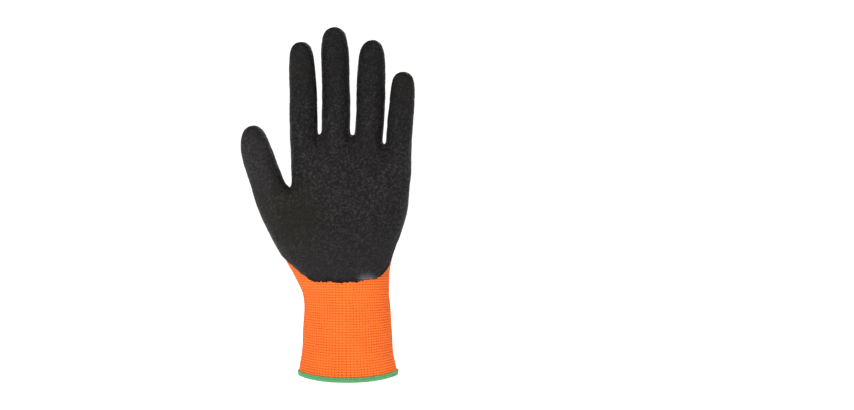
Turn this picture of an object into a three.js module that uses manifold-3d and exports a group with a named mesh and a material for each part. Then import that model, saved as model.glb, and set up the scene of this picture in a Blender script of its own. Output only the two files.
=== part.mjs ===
// Latex coated grip glove for the left hand: fingers up +Z, palm towards -Y, thumb towards -X.
// A knitted liner with a stall for each finger carries the latex coating, and a ribbed cuff below it
// ends in an overlocked hem.
import * as THREE from 'three';
import { mergeVertices } from 'three/addons/utils/BufferGeometryUtils.js';
import Module from 'manifold-3d';

const solids = await Module();
solids.setup();

// Driving dimensions in millimetres
const GLOVE_LENGTH = 250;
const HAND_WIDTH = 86;
const HAND_DEPTH = 34;
const FINGER_CURL = 10;
const CUFF_HEIGHT = 62;
const CUFF_WIDTH = 61.1;
const CUFF_DEPTH = 42;
const LINER_WALL = 1.2;
const COATING_WALL = 0.8;
const LAYER_GAP = 0.3;
const HEM_HEIGHT = 3.6;
const HEM_WALL = 0.6;
const HEM_DIP = 3.5;

const COLOURS = { yarn: '#ff7323', thread: '#50b06e', latex: '#2d2b2d' };
const ROUNDNESS = 2.2;
const COATING_STEP = COATING_WALL + LAYER_GAP;

// Hand sections from the wrist up to the roots of the fingers.
// Heights are shares of the length between cuff and longest fingertip, sides shares of the hand's width,
// and palm and back shares of its depth.
const HAND_ROWS = [
  { leftHeight: 0.000, rightHeight: 0.000, left: -0.379, right: 0.357, palm: 0.650, back: 0.620 },
  { leftHeight: 0.082, rightHeight: 0.082, left: -0.488, right: 0.358, palm: 0.650, back: 0.570 },
  { leftHeight: 0.152, rightHeight: 0.152, left: -0.573, right: 0.390, palm: 0.640, back: 0.520 },
  { leftHeight: 0.223, rightHeight: 0.223, left: -0.658, right: 0.440, palm: 0.620, back: 0.480 },
  { leftHeight: 0.298, rightHeight: 0.312, left: -0.560, right: 0.495, palm: 0.580, back: 0.460 },
  { leftHeight: 0.380, rightHeight: 0.386, left: -0.477, right: 0.510, palm: 0.520, back: 0.450 },
  { leftHeight: 0.462, rightHeight: 0.448, left: -0.479, right: 0.524, palm: 0.440, back: 0.400 },
  { leftHeight: 0.540, rightHeight: 0.510, left: -0.480, right: 0.524, palm: 0.320, back: 0.300 },
];
const THUMB_LOWER_ROW = 4;
const TOP_ROW = HAND_ROWS.length - 1;

// Fingers from the thumb's side: root and tip, breadth, and the height of the web beside the next finger
const FINGERS = [
  {
    stall: 'index_stall', root: -0.371, tip: -0.391, base: 0.528, top: 0.942,
    breadth: 0.248, forward: 0.02, web: 0.596,
  },
  {
    stall: 'middle_stall', root: -0.105, tip: -0.114, base: 0.535, top: 1.000,
    breadth: 0.248, forward: -0.04, web: 0.594,
  },
  {
    stall: 'ring_stall', root: 0.168, tip: 0.192, base: 0.522, top: 0.950,
    breadth: 0.248, forward: -0.02, web: 0.561,
  },
  {
    stall: 'little_stall', root: 0.415, tip: 0.446, base: 0.492, top: 0.830,
    breadth: 0.230, forward: 0.04, web: 0.561,
  },
];
const WEB_HALF_WIDTH = 0.011;
const FINGER_DEPTH = 0.90;

// Rings up a finger: share of its length, and its girth there against the breadth at the root
const FINGER_RINGS = [
  { share: 0.13, girth: 0.990 },
  { share: 0.42, girth: 0.970 },
  { share: 0.68, girth: 0.935 },
  { share: 0.87, girth: 0.830 },
  { share: 0.965, girth: 0.520 },
];

// Rings up the thumb, from its root between the two lower hand rows to just under the tip
const THUMB_RINGS = [
  { across: -0.617, height: 0.362, breadth: 0.310, depth: 0.58, forward: 0.16 },
  { across: -0.681, height: 0.428, breadth: 0.268, depth: 0.62, forward: 0.18 },
  { across: -0.730, height: 0.484, breadth: 0.253, depth: 0.58, forward: 0.22 },
  { across: -0.766, height: 0.540, breadth: 0.241, depth: 0.55, forward: 0.26 },
  { across: -0.781, height: 0.583, breadth: 0.212, depth: 0.47, forward: 0.29 },
  { across: -0.784, height: 0.614, breadth: 0.134, depth: 0.28, forward: 0.30 },
];
const THUMB_STALL = 'thumb_stall';
const THUMB_TIP = { across: -0.784, height: 0.632, forward: 0.30 };
const THUMB_WEB_FLANK = { across: -0.462, height: 0.355 };

// Where the latex leaves the back of each finger bare: a half ellipse up from its root
const BARE_LOBES = [
  { across: -0.356, height: 0.596, halfWidth: 0.091, reach: 0.214, lean: 1 },
  { across: -0.095, height: 0.596, halfWidth: 0.112, reach: 0.262, lean: 1 },
  { across: 0.185, height: 0.590, halfWidth: 0.104, reach: 0.227, lean: -2.5 },
  { across: 0.434, height: 0.548, halfWidth: 0.079, reach: 0.173, lean: -1.5 },
  { across: -0.668, height: 0.351, halfWidth: 0.070, reach: 0.178, lean: 20.8 },
];
const LOBE_START = 0.06;
const THUMB_LOBE_START = -0.10;

// Edge of the bare back of the hand and lower edge of the palm's coating, as shares across and up
const BARE_BACK = [
  [-1.2, -0.4], [-1.2, 0.245], [-0.74, 0.262], [-0.712, 0.31], [-0.742, 0.356], [-0.62, 0.372],
  [-0.555, 0.356], [-0.526, 0.342], [-0.497, 0.356], [-0.464, 0.379], [-0.456, 0.42], [-0.452, 0.56],
  [-0.446, 0.606], [-0.265, 0.606], [-0.236, 0.575], [-0.207, 0.606], [0.016, 0.606], [0.049, 0.572],
  [0.082, 0.602], [0.288, 0.585], [0.321, 0.530], [0.355, 0.574], [0.512, 0.565], [0.503, 0.537],
  [0.478, 0.402], [0.470, 0.311], [0.448, 0.255], [1.2, 0.22], [1.2, -0.4],
];
const PALM_EDGE = [
  [-1.2, 0.12], [-0.524, 0.118], [-0.378, 0.063], [-0.316, 0.049], [-0.263, 0.042], [-0.135, 0.047],
  [-0.110, 0.040], [0.052, 0.043], [0.193, 0.052], [0.258, 0.060], [0.301, 0.077], [0.331, 0.099],
  [0.356, 0.129], [1.2, 0.129],
];

// Cuff sections: share of its height, width and depth against the narrowest, and sideways shift
const CUFF_ROWS = [
  { share: 0, width: 1.175, depth: 1.13, shift: -0.010 },
  { share: 0.080, width: 1.172, depth: 1.127, shift: -0.010 },
  { share: 0.260, width: 1.080, depth: 1.05, shift: -0.012 },
  { share: 0.500, width: 1.036, depth: 1.03, shift: -0.009 },
  { share: 0.840, width: 0.989, depth: 1.01, shift: -0.010 },
];
const CUFF_STEPS = 36;
const WRIST_ROW = HAND_ROWS[0];

const handSpan = GLOVE_LENGTH - CUFF_HEIGHT;
const handHeight = (share) => CUFF_HEIGHT + LAYER_GAP / 2 + share * (handSpan - LAYER_GAP / 2);
const across = (share) => share * HAND_WIDTH;
const deep = (share) => share * HAND_DEPTH;
const mix = (from, to, share) => from + (to - from) * share;

// One closed round with flattened sides: how deep it stands at a share of its width
function roundDepth(share) {
  const side = Math.abs(2 * share - 1);
  return Math.pow(1 - Math.pow(side, ROUNDNESS), 1 / ROUNDNESS);
}

// Six points round a finger, from its thumb side over the palm side: cosine and sine of every 60 degrees
const HEXAGON = [180, 240, 300, 0, 60, 120].map((degrees) => {
  const angle = THREE.MathUtils.degToRad(degrees);
  return { side: Math.cos(angle), depth: Math.sin(angle) };
});

const cagePoints = [];
const cageFaces = [];
const faceNodes = [];
let currentNode = 'liner';

function addPoint(x, y, z) {
  cagePoints.push(new THREE.Vector3(x, y, z));
  return cagePoints.length - 1;
}

function addFace(face) {
  cageFaces.push(face);
  faceNodes.push(currentNode);
}

function joinRings(lower, upper, skip = () => false) {
  const count = lower.length;
  for (let i = 0; i < count; i += 1) {
    const next = (i + 1) % count;
    if (!skip(i)) addFace([lower[i], lower[next], upper[next], upper[i]]);
  }
}

function closeTip(ring, tip) {
  for (let i = 0; i < ring.length; i += 2) {
    addFace([tip, ring[i], ring[i + 1], ring[(i + 2) % ring.length]]);
  }
}

// The first ring still belongs to the liner; the stall starts there and ends in the tip
function growStall(stall, root, rings, tip) {
  let lower = root;
  currentNode = 'liner';
  for (const upper of rings) {
    joinRings(lower, upper);
    lower = upper;
    currentNode = stall;
  }
  closeTip(lower, tip);
  currentNode = 'liner';
}

// Shares of the hand's width at which the columns of its sections stand, two for each finger
function columnShares() {
  const top = HAND_ROWS[TOP_ROW];
  const shares = [];
  for (const finger of FINGERS) {
    for (const half of [-0.25, 0.25]) {
      shares.push((finger.root + half * finger.breadth - top.left) / (top.right - top.left));
    }
  }
  return shares;
}

function thumbDirection(index) {
  const before = THUMB_RINGS[Math.max(index - 1, 0)];
  const after = THUMB_RINGS[index + 1] ?? THUMB_TIP;
  const x = across(after.across) - across(before.across);
  const z = (after.height - before.height) * handSpan;
  return new THREE.Vector2(x, z).normalize();
}

function thumbPoint(index, corner) {
  const ring = THUMB_RINGS[index];
  const direction = thumbDirection(index);
  const half = across(ring.breadth) / 2;
  const x = across(ring.across) + direction.y * half * corner.side;
  const z = handHeight(ring.height) - direction.x * half * corner.side;
  const y = -deep(ring.forward) + corner.depth * deep(ring.depth) / 2;
  return [x, y, z];
}

function handPoint(rowIndex, share, isBack) {
  const row = HAND_ROWS[rowIndex];
  const depth = isBack ? deep(row.back) : -deep(row.palm);
  return [
    across(mix(row.left, row.right, share)),
    depth * roundDepth(share),
    handHeight(mix(row.leftHeight, row.rightHeight, share)),
  ];
}

// The thumb grows out of the hand's side between two rows; its root takes their three end columns
const ROOT_CORNERS = { lower: [0, 1, 5], upper: [3, 2, 4] };

function setThumbRoot(row, isLower) {
  const corners = isLower ? ROOT_CORNERS.lower : ROOT_CORNERS.upper;
  [row.ends[0], row.palm[0], row.back[0]] = corners.map((corner) => thumbPoint(0, HEXAGON[corner]));
  if (isLower) return;
  for (const flank of [row.palm[0], row.back[0]]) {
    flank[0] = across(THUMB_WEB_FLANK.across);
    flank[2] = handHeight(THUMB_WEB_FLANK.height);
  }
}

// The top row steps with the fingers, each at its own height and depth
function setFingerRoots(row) {
  const { palm, back } = HAND_ROWS[TOP_ROW];
  FINGERS.forEach((finger, i) => {
    for (const column of [2 * i, 2 * i + 1]) {
      row.palm[column][1] = -deep(palm + finger.forward);
      row.back[column][1] = deep(back - finger.forward);
      row.palm[column][2] = handHeight(finger.base);
      row.back[column][2] = handHeight(finger.base);
    }
  });
}

function handRing(rowIndex) {
  const shares = columnShares();
  const row = {
    palm: shares.map((share) => handPoint(rowIndex, share, false)),
    back: shares.map((share) => handPoint(rowIndex, share, true)),
    ends: [handPoint(rowIndex, 0, false), handPoint(rowIndex, 1, false)],
  };
  if (rowIndex === THUMB_LOWER_ROW) setThumbRoot(row, true);
  if (rowIndex === THUMB_LOWER_ROW + 1) setThumbRoot(row, false);
  if (rowIndex === TOP_ROW) setFingerRoots(row);
  const ring = [row.ends[0], ...row.palm, row.ends[1], ...row.back.reverse()];
  return ring.map((point) => addPoint(...point));
}

function buildHand() {
  const rings = HAND_ROWS.map((row, index) => handRing(index));
  const last = rings[0].length - 1;
  for (let row = 0; row < TOP_ROW; row += 1) {
    const thumbHole = (column) => row === THUMB_LOWER_ROW && (column === 0 || column === last);
    joinRings(rings[row], rings[row + 1], thumbHole);
  }
  return rings;
}

function fingerRing(finger, ring) {
  const z = mix(handHeight(finger.web), handHeight(finger.top), ring.share);
  const x = across(mix(finger.root, finger.tip, ring.share));
  const y = -deep(finger.forward) - FINGER_CURL * ring.share * ring.share;
  const half = across(finger.breadth) * ring.girth / 2;
  return HEXAGON.map((corner) => addPoint(
    x + half * corner.side,
    y + half * FINGER_DEPTH * corner.depth,
    z,
  ));
}

function buildFingers(topRing) {
  const count = FINGERS.length;
  const webs = FINGERS.slice(0, -1).map((finger, i) => {
    const next = FINGERS[i + 1];
    const edge = (finger.root + finger.breadth / 2 + next.root - next.breadth / 2) / 2;
    const y = -deep((finger.forward + next.forward) / 2);
    const z = handHeight(finger.web);
    const left = addPoint(across(edge - WEB_HALF_WIDTH), y, z);
    const right = addPoint(across(edge + WEB_HALF_WIDTH), y, z);
    return { left, right };
  });
  const palm = (column) => topRing[1 + column];
  const back = (column) => topRing[4 * count + 1 - column];
  webs.forEach((web, i) => {
    addFace([palm(2 * i + 1), palm(2 * i + 2), web.right, web.left]);
    addFace([back(2 * i + 2), back(2 * i + 1), web.left, web.right]);
  });
  FINGERS.forEach((finger, i) => {
    const left = i === 0 ? topRing[0] : webs[i - 1].right;
    const right = i === count - 1 ? topRing[2 * count + 1] : webs[i].left;
    const root = [left, palm(2 * i), palm(2 * i + 1), right, back(2 * i + 1), back(2 * i)];
    const rings = FINGER_RINGS.map((ring) => fingerRing(finger, ring));
    const tipY = -deep(finger.forward) - FINGER_CURL;
    const tip = addPoint(across(finger.tip), tipY, handHeight(finger.top));
    growStall(finger.stall, root, rings, tip);
  });
}

function buildThumb(rings) {
  const below = rings[THUMB_LOWER_ROW];
  const above = rings[THUMB_LOWER_ROW + 1];
  const last = below.length - 1;
  const root = [below[0], below[1], above[1], above[0], above[last], below[last]];
  const thumbRings = THUMB_RINGS.slice(1).map((entry, i) => (
    HEXAGON.map((corner) => addPoint(...thumbPoint(i + 1, corner)))
  ));
  const { across: tipAcross, height, forward } = THUMB_TIP;
  const tip = addPoint(across(tipAcross), -deep(forward), handHeight(height));
  growStall(THUMB_STALL, root, thumbRings, tip);
}

// One Catmull-Clark step; the first new points stand for the old ones, in the same order
function subdivide(points, faces) {
  const mean = (list) => list.reduce((sum, p) => sum.add(p), new THREE.Vector3()).divideScalar(list.length);
  const centres = faces.map((face) => mean(face.map((index) => points[index])));
  const edges = new Map();
  const around = points.map(() => ({ centres: [], middles: [], rim: [] }));
  faces.forEach((face, f) => {
    face.forEach((from, i) => {
      const to = face[(i + 1) % face.length];
      const key = from < to ? `${from}_${to}` : `${to}_${from}`;
      if (!edges.has(key)) edges.set(key, { from, to, sides: [] });
      edges.get(key).sides.push(centres[f]);
      around[from].centres.push(centres[f]);
    });
  });
  const edgePoints = [];
  for (const edge of edges.values()) {
    const middle = mean([points[edge.from], points[edge.to]]);
    const isRim = edge.sides.length === 1;
    edge.index = points.length + edgePoints.length;
    edgePoints.push(isRim ? middle.clone() : mean([points[edge.from], points[edge.to], ...edge.sides]));
    for (const end of [edge.from, edge.to]) {
      around[end].middles.push(middle);
      if (isRim) around[end].rim.push(middle);
    }
  }
  const moved = points.map((point, i) => {
    const { centres: faceCentres, middles, rim } = around[i];
    if (rim.length > 0) return mean(rim).add(point).divideScalar(2);
    const valence = faceCentres.length;
    const result = mean(middles).multiplyScalar(2).add(mean(faceCentres));
    return result.addScaledVector(point, valence - 3).divideScalar(valence);
  });
  const newFaces = [];
  const firstCentre = points.length + edgePoints.length;
  faces.forEach((face, f) => {
    face.forEach((corner, i) => {
      const next = face[(i + 1) % face.length];
      const before = face[(i + face.length - 1) % face.length];
      const edgeTo = (end) => edges.get(corner < end ? `${corner}_${end}` : `${end}_${corner}`).index;
      newFaces.push([corner, edgeTo(next), firstCentre + f, edgeTo(before)]);
    });
  });
  return { points: [...moved, ...edgePoints, ...centres], faces: newFaces };
}

// A smooth surface that passes through the cage's own points
function smoothThrough(targets, faces) {
  const ROUNDS = 2;
  let cage = targets.map((point) => point.clone());
  for (let round = 0; round < ROUNDS; round += 1) {
    const smooth = subdivide(cage, faces).points;
    cage = cage.map((point, i) => point.clone().add(targets[i]).sub(smooth[i]));
  }
  return subdivide(cage, faces);
}

function vertexNormals(surface) {
  const normals = surface.points.map(() => new THREE.Vector3());
  for (const face of surface.faces) {
    const [a, b, c, d] = face.map((index) => surface.points[index]);
    const normal = c.clone().sub(a).cross(d.clone().sub(b));
    for (const index of face) normals[index].add(normal);
  }
  return normals.map((normal) => normal.normalize());
}

function rimEdges(faces) {
  const open = new Map();
  for (const face of faces) {
    face.forEach((from, i) => {
      const to = face[(i + 1) % face.length];
      if (!open.delete(`${to}_${from}`)) open.set(`${from}_${to}`, [from, to]);
    });
  }
  return [...open.values()];
}

// A wall between two depths under some faces of the hand's surface, closed by rims at its open ends.
// Seats say how far the points at the foot of each stall move to leave a clearance there.
function wallUnder(surface, outerDepth, innerDepth, pieceFaces = surface.faces, seats = new Map()) {
  const normals = vertexNormals(surface);
  const wrist = new Set(rimEdges(surface.faces).flat());
  const rim = rimEdges(pieceFaces);
  const layer = (depth) => surface.points.map((point, i) => {
    const normal = normals[i].clone();
    if (wrist.has(i)) normal.setZ(0).normalize();
    const moved = point.clone().addScaledVector(normal, -depth);
    return seats.has(i) ? moved.add(seats.get(i)) : moved;
  });
  const points = [...layer(outerDepth), ...layer(innerDepth)];
  const shift = surface.points.length;
  const faces = [];
  for (const face of pieceFaces) {
    const [a, b, c, d] = face;
    faces.push([a, b, c, d]);
    faces.push([a, d, c, b].map((index) => index + shift));
  }
  for (const [from, to] of rim) faces.push([to, from, from + shift, to + shift]);
  return quadGeometry(points, faces);
}

function stallDirection(stall) {
  if (stall !== THUMB_STALL) return new THREE.Vector3(0, 0, 1);
  const direction = thumbDirection(1);
  return new THREE.Vector3(direction.x, 0, direction.y);
}

// The knitted layer as the hand's own piece and one stall for each finger, a clearance apart
function linerPieces(surface) {
  const facesOf = (node) => surface.faces.filter((face, i) => faceNodes[Math.floor(i / 4)] === node);
  const build = (faces, seats) => (
    wallUnder(surface, COATING_STEP, COATING_STEP + LINER_WALL, faces, seats)
  );
  const handSeats = new Map();
  const stalls = [...FINGERS.map((finger) => finger.stall), THUMB_STALL].map((stall) => {
    const faces = facesOf(stall);
    const half = stallDirection(stall).multiplyScalar(LAYER_GAP / 2);
    const seats = new Map();
    for (const index of rimEdges(faces).flat()) {
      seats.set(index, half);
      handSeats.set(index, half.clone().negate());
    }
    return { name: stall, geometry: build(faces, seats) };
  });
  return [{ name: 'liner', geometry: build(facesOf('liner'), handSeats) }, ...stalls];
}

function quadGeometry(points, faces) {
  const geometry = new THREE.BufferGeometry();
  const used = [...new Set(faces.flat())];
  const places = new Map(used.map((index, place) => [index, place]));
  const coordinates = used.flatMap((index) => points[index].toArray());
  const triangles = faces.flatMap(([a, b, c, d]) => [a, b, c, a, c, d].map((index) => places.get(index)));
  geometry.setAttribute('position', new THREE.Float32BufferAttribute(coordinates, 3));
  geometry.setIndex(triangles);
  return geometry;
}

function toSolid(geometry) {
  const bare = geometry.clone();
  bare.deleteAttribute('normal');
  bare.deleteAttribute('uv');
  const merged = mergeVertices(bare, 1e-4);
  const vertProperties = new Float32Array(merged.attributes.position.array);
  const triVerts = new Uint32Array(merged.index.array);
  return new solids.Manifold(new solids.Mesh({ numProp: 3, vertProperties, triVerts }));
}

function fromSolid(solid) {
  const mesh = solid.getMesh();
  const geometry = new THREE.BufferGeometry();
  geometry.setAttribute('position', new THREE.BufferAttribute(new Float32Array(mesh.vertProperties), 3));
  geometry.setIndex(new THREE.BufferAttribute(new Uint32Array(mesh.triVerts), 1));
  return geometry;
}

// A cutting block: an outline in X and Z, pushed from one depth to another along Y
function cutBlock(shape, fromY, toY) {
  const geometry = new THREE.ExtrudeGeometry(shape, {
    depth: toY - fromY, bevelEnabled: false, curveSegments: 16,
  });
  geometry.rotateX(Math.PI / 2);
  geometry.translate(0, toY, 0);
  return toSolid(geometry);
}

function outline(points) {
  const shape = new THREE.Shape();
  points.forEach(([x, z], i) => {
    const place = [across(x), handHeight(z)];
    if (i === 0) shape.moveTo(...place);
    else shape.lineTo(...place);
  });
  return shape;
}

function lobe(entry) {
  const shape = new THREE.Shape();
  const lean = THREE.MathUtils.degToRad(entry.lean);
  const height = entry.reach * handSpan;
  shape.absellipse(across(entry.across), handHeight(entry.height), across(entry.halfWidth), height,
    0, 2 * Math.PI, false, lean);
  return shape;
}

function buildCoating(surface) {
  const reach = 3 * HAND_DEPTH;
  const side = deep(LOBE_START);
  let coating = toSolid(wallUnder(surface, 0, COATING_WALL));
  const belowPalm = [...PALM_EDGE, [1.2, -0.4], [-1.2, -0.4]];
  const cuts = [
    cutBlock(outline(belowPalm), -reach, side + COATING_WALL),
    cutBlock(outline(BARE_BACK), side, reach),
  ];
  BARE_LOBES.forEach((entry, i) => {
    const start = i === BARE_LOBES.length - 1 ? deep(THUMB_LOBE_START) : side;
    cuts.push(cutBlock(lobe(entry), start, reach));
  });
  for (const cut of cuts) coating = coating.subtract(cut);
  return fromSolid(coating);
}

// Height of the hem's lower edge round the wrist: it dips towards the palm
function hemHeight(angle) {
  const palmward = Math.max(0, -Math.sin(angle));
  return HEM_DIP * (1 - palmward * palmward);
}

function roundPoint(halfWidth, palmDepth, backDepth, angle) {
  const power = 2 / ROUNDNESS;
  const cosine = Math.cos(angle);
  const sine = Math.sin(angle);
  return {
    x: Math.sign(cosine) * Math.pow(Math.abs(cosine), power) * halfWidth,
    y: Math.sign(sine) * Math.pow(Math.abs(sine), power) * (sine < 0 ? palmDepth : backDepth),
  };
}

// Cuff sections in millimetres, outside face, from the hem up to the wrist row of the hand
function cuffSections() {
  const sections = CUFF_ROWS.map((row) => ({
    share: row.share,
    halfWidth: CUFF_WIDTH * row.width / 2,
    palm: CUFF_DEPTH * row.depth / 2,
    back: CUFF_DEPTH * row.depth / 2,
    shift: CUFF_WIDTH * row.shift,
  }));
  sections.push({
    share: 1,
    halfWidth: across(WRIST_ROW.right - WRIST_ROW.left) / 2 - COATING_STEP,
    palm: deep(WRIST_ROW.palm) - COATING_STEP,
    back: deep(WRIST_ROW.back) - COATING_STEP,
    shift: across(WRIST_ROW.right + WRIST_ROW.left) / 2,
  });
  return sections;
}

function cuffPoint(section, angle, inset) {
  const place = roundPoint(section.halfWidth - inset, section.palm - inset, section.back - inset, angle);
  const top = CUFF_HEIGHT - LAYER_GAP / 2;
  const seat = HEM_WALL + LAYER_GAP;
  const dip = hemHeight(angle) * (1 - section.share);
  const z = mix(seat, top, section.share) + dip;
  return new THREE.Vector3(place.x + section.shift, place.y, z);
}

// A closed ring lofted through sections given as lists of points, each point a function of the angle
function ringSolid(sectionPoints) {
  const points = [];
  const faces = [];
  for (let step = 0; step < CUFF_STEPS; step += 1) {
    points.push(...sectionPoints(2 * Math.PI * step / CUFF_STEPS));
  }
  const count = points.length / CUFF_STEPS;
  for (let step = 0; step < CUFF_STEPS; step += 1) {
    const next = (step + 1) % CUFF_STEPS;
    for (let i = 0; i < count; i += 1) {
      const j = (i + 1) % count;
      faces.push([step * count + i, next * count + i, next * count + j, step * count + j]);
    }
  }
  return quadGeometry(points, faces);
}

function buildCuff() {
  const sections = cuffSections();
  return ringSolid((angle) => {
    const outside = sections.map((section) => cuffPoint(section, angle, 0));
    const inside = sections.map((section) => cuffPoint(section, angle, LINER_WALL));
    return [...outside, ...inside.reverse()];
  });
}

// The hem is a channel of thread that wraps the cuff's lower edge with a clearance all round
function buildHem() {
  const [section] = cuffSections();
  const half = LINER_WALL / 2 + LAYER_GAP;
  const outer = half + HEM_WALL;
  const profile = [
    [outer, HEM_HEIGHT], [half, HEM_HEIGHT], [half, HEM_WALL], [-half, HEM_WALL], [-half, HEM_HEIGHT],
    [-outer, HEM_HEIGHT], [-outer, HEM_WALL], [-half, 0], [half, 0], [outer, HEM_WALL],
  ];
  return ringSolid((angle) => profile.map(([offset, height]) => {
    const place = cuffPoint(section, angle, LINER_WALL / 2 - offset);
    return place.setZ(hemHeight(angle) + height);
  }));
}

const cageRings = buildHand();
buildFingers(cageRings[TOP_ROW]);
buildThumb(cageRings);
const handSurface = smoothThrough(cagePoints, cageFaces);

const PIECES = [
  ...linerPieces(handSurface).map((piece) => ({ ...piece, colour: COLOURS.yarn, roughness: 0.85 })),
  { name: 'coating', geometry: buildCoating(handSurface), colour: COLOURS.latex, roughness: 0.5 },
  { name: 'cuff', geometry: buildCuff(), colour: COLOURS.yarn, roughness: 0.85 },
  { name: 'hem', geometry: buildHem(), colour: COLOURS.thread, roughness: 0.8 },
];

const glove = new THREE.Group();
for (const piece of PIECES) {
  const material = new THREE.MeshStandardMaterial({
    color: piece.colour, roughness: piece.roughness, metalness: 0,
  });
  const mesh = new THREE.Mesh(piece.geometry, material);
  mesh.name = piece.name;
  glove.add(mesh);
}

export default glove;
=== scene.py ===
"""Latex coated grip glove for the left hand, dressed over its CAD frame."""

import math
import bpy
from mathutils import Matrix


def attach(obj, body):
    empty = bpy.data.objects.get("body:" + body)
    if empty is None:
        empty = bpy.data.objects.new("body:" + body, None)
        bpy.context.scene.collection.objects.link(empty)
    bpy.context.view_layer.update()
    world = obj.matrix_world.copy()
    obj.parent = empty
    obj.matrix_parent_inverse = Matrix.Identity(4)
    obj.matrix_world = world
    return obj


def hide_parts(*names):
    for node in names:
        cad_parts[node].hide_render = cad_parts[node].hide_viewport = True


bl_info = {
    "name": "Latex Coated Grip Glove",
    "version": (1, 0, 0),
    "blender": (4, 5, 0),
    "location": "View3D > Sidebar > Glove",
    "description": "Knitted work glove with a crinkled latex coating and an overlocked hem",
    "category": "Object",
}

import bmesh
import bpy
import numpy as np
from mathutils import Vector, noise

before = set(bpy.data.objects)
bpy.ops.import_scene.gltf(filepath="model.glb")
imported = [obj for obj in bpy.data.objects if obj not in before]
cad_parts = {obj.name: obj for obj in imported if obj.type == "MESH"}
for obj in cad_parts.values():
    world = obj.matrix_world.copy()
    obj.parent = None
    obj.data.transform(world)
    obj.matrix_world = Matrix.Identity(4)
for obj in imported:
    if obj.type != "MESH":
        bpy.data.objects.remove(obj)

MM = 0.001
STALLS = ("index_stall", "middle_stall", "ring_stall", "little_stall", "thumb_stall")

# Shape of the frame, in millimetres
WRIST_Z = 62.0
COATING_RISE = 1.1
LINER_WALL = 1.2
THUMB_LEAN = math.radians(17)

# Cuff from its lower edge up: share of its height, half width, half depth and sideways shift. Then how square
# its section is, the height of its edge inside the hem, its columns of stitches, and mesh points to a stitch
CUFF_ROWS = (
    (0.00, 35.1, 23.5, -0.1),
    (0.06, 34.6, 23.2, -0.2),
    (0.26, 32.5, 21.7, -0.5),
    (0.50, 31.7, 20.8, -0.55),
    (0.84, 30.3, 19.8, -0.6),
)
ROUNDNESS = 2.2
CUFF_SEAT = 0.9
WALES = 92
STITCH_POINTS = 4

# Height where the hand's knit starts to leave the cuff's wales, and over how much it does
JOINED_KNIT = (72.0, 36.0)

# Hem: height, dip towards the palm, half the band's thickness, points to a turn of the wound thread and of
# the looper threads, points round the band, and how far the thread's map runs on from point to point
HEM_HEIGHT = 3.6
HEM_DIP = 3.5
HEM_HALF = LINER_WALL / 2 + 0.35
WRAP_POINTS = 16
CHAIN_POINTS = 8
BAND_POINTS = 180
STRAND_PITCH = 0.4

# Bare knit on the back of the hand, and the lower edge of the palm's coating, as x and z
BARE_BACK = (
    (-103.0, -13.0), (-103.0, 108.2), (-63.6, 111.4), (-61.2, 120.4), (-62.6, 128.0),
    (-53.6, 131.8), (-51.2, 129.6), (-48.4, 127.9), (-45.4, 127.2), (-42.6, 128.2), (-40.7, 130.9),
    (-39.7, 134.6), (-39.2, 141.0), (-38.9, 167.3), (-38.4, 178.0), (-22.8, 178.0), (-22.0, 172.9),
    (-19.9, 170.6), (-17.8, 172.9), (-17.0, 178.0), (0.8, 178.0), (1.3, 172.6), (3.3, 170.1),
    (5.6, 172.6), (7.2, 178.0), (24.6, 172.0), (25.0, 165.4), (26.5, 162.2), (28.3, 165.4),
    (29.9, 171.0), (42.6, 171.0), (43.4, 163.0), (41.1, 137.7), (40.4, 120.6), (38.5, 110.0),
    (103.0, 103.5), (103.0, -13.0),
)
PALM_EDGE = (
    (-103.0, 88.5), (-46.0, 87.6), (-39.5, 82.2), (-32.5, 75.8), (-27.2, 72.4), (-22.6, 69.9),
    (-11.6, 70.9), (-9.5, 69.6), (4.5, 70.1), (16.6, 71.8), (22.2, 73.3), (25.9, 76.5),
    (28.5, 81.0), (30.6, 87.6), (33.5, 96.5), (38.5, 105.0), (103.0, 105.0),
)

# Bare openings along the backs of the fingers: centre, half width, reach and lean in degrees
BARE_LOBES = (
    (-30.5, 172.0, 8.1, 42.3, 0.8),
    (-7.8, 172.0, 9.7, 51.3, 0.6),
    (16.4, 172.0, 9.4, 43.6, -2.5),
    (36.9, 164.0, 7.2, 33.5, -1.5),
    (-57.4, 127.5, 6.2, 34.0, 20.8),
)

# Where the openings of the back begin in depth, from the thumb's side to the hand
BACK_START = ((-62.0, -3.2), (-46.0, 2.0))

# How soft the latex's outlines are where two meet, and how far its ragged edge waves at palm and back
LOBE_ROUNDING, BACK_ROUNDING, PALM_ROUNDING = 2.0, 3.0, 6.0
PALM_WAVE, BACK_WAVE = 1.6, 0.12
EDGE_CALM = ((-14.0, -7.0), (1.0, 0.3))

# The latex's lip: how far it stands up at the very edge, and over how much it rounds to its full height
LIP_RISE = 0.25
LIP_REACH = 1.3

# Bend of the wrist: how far its two sides move out, its reach in height, and its start and reach in x
BEND_ROUNDING = 2.4
WAIST_FILL = 0.75
BEND_REACH = 16.0
BEND_SIDE = (6.0, 20.0)

# Sideways drift of the fingers by x, with the height where it starts and its reach
FINGER_DRIFT = ((-33.0, -9.0, 16.0, 38.0), (0.9, 0.3, 1.2, 1.0))
DRIFT_START = (170.0, 30.0)

# Fingertips made broader: low, middle and high x, lowest z, and how far the left and right sides move
TIP_SWELLS = ((-20.5, -9.7, 2.6, 214.0, 0.95, 0.5), (2.6, 15.4, 26.0, 190.0, 0.75, 0.1))

# Thumb: x, z, lean and width of its middle line, where it ends in x, and how its two sides fill out by height
THUMB_LINE = (-63.8, 156.0, 0.345, 9.0)
THUMB_LIMIT = -43.6
THUMB_FILL = (
    (138.0, 141.3, 148.2, 156.0, 162.0, 166.0, 171.0, 175.5, 180.0),
    (0.0, 0.4, 1.7, 2.1, 2.0, 1.6, 1.15, 1.2, 1.4),
)
THUMB_OUTER_FILL = ((150.0, 166.0), (0.0, 0.45))

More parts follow.
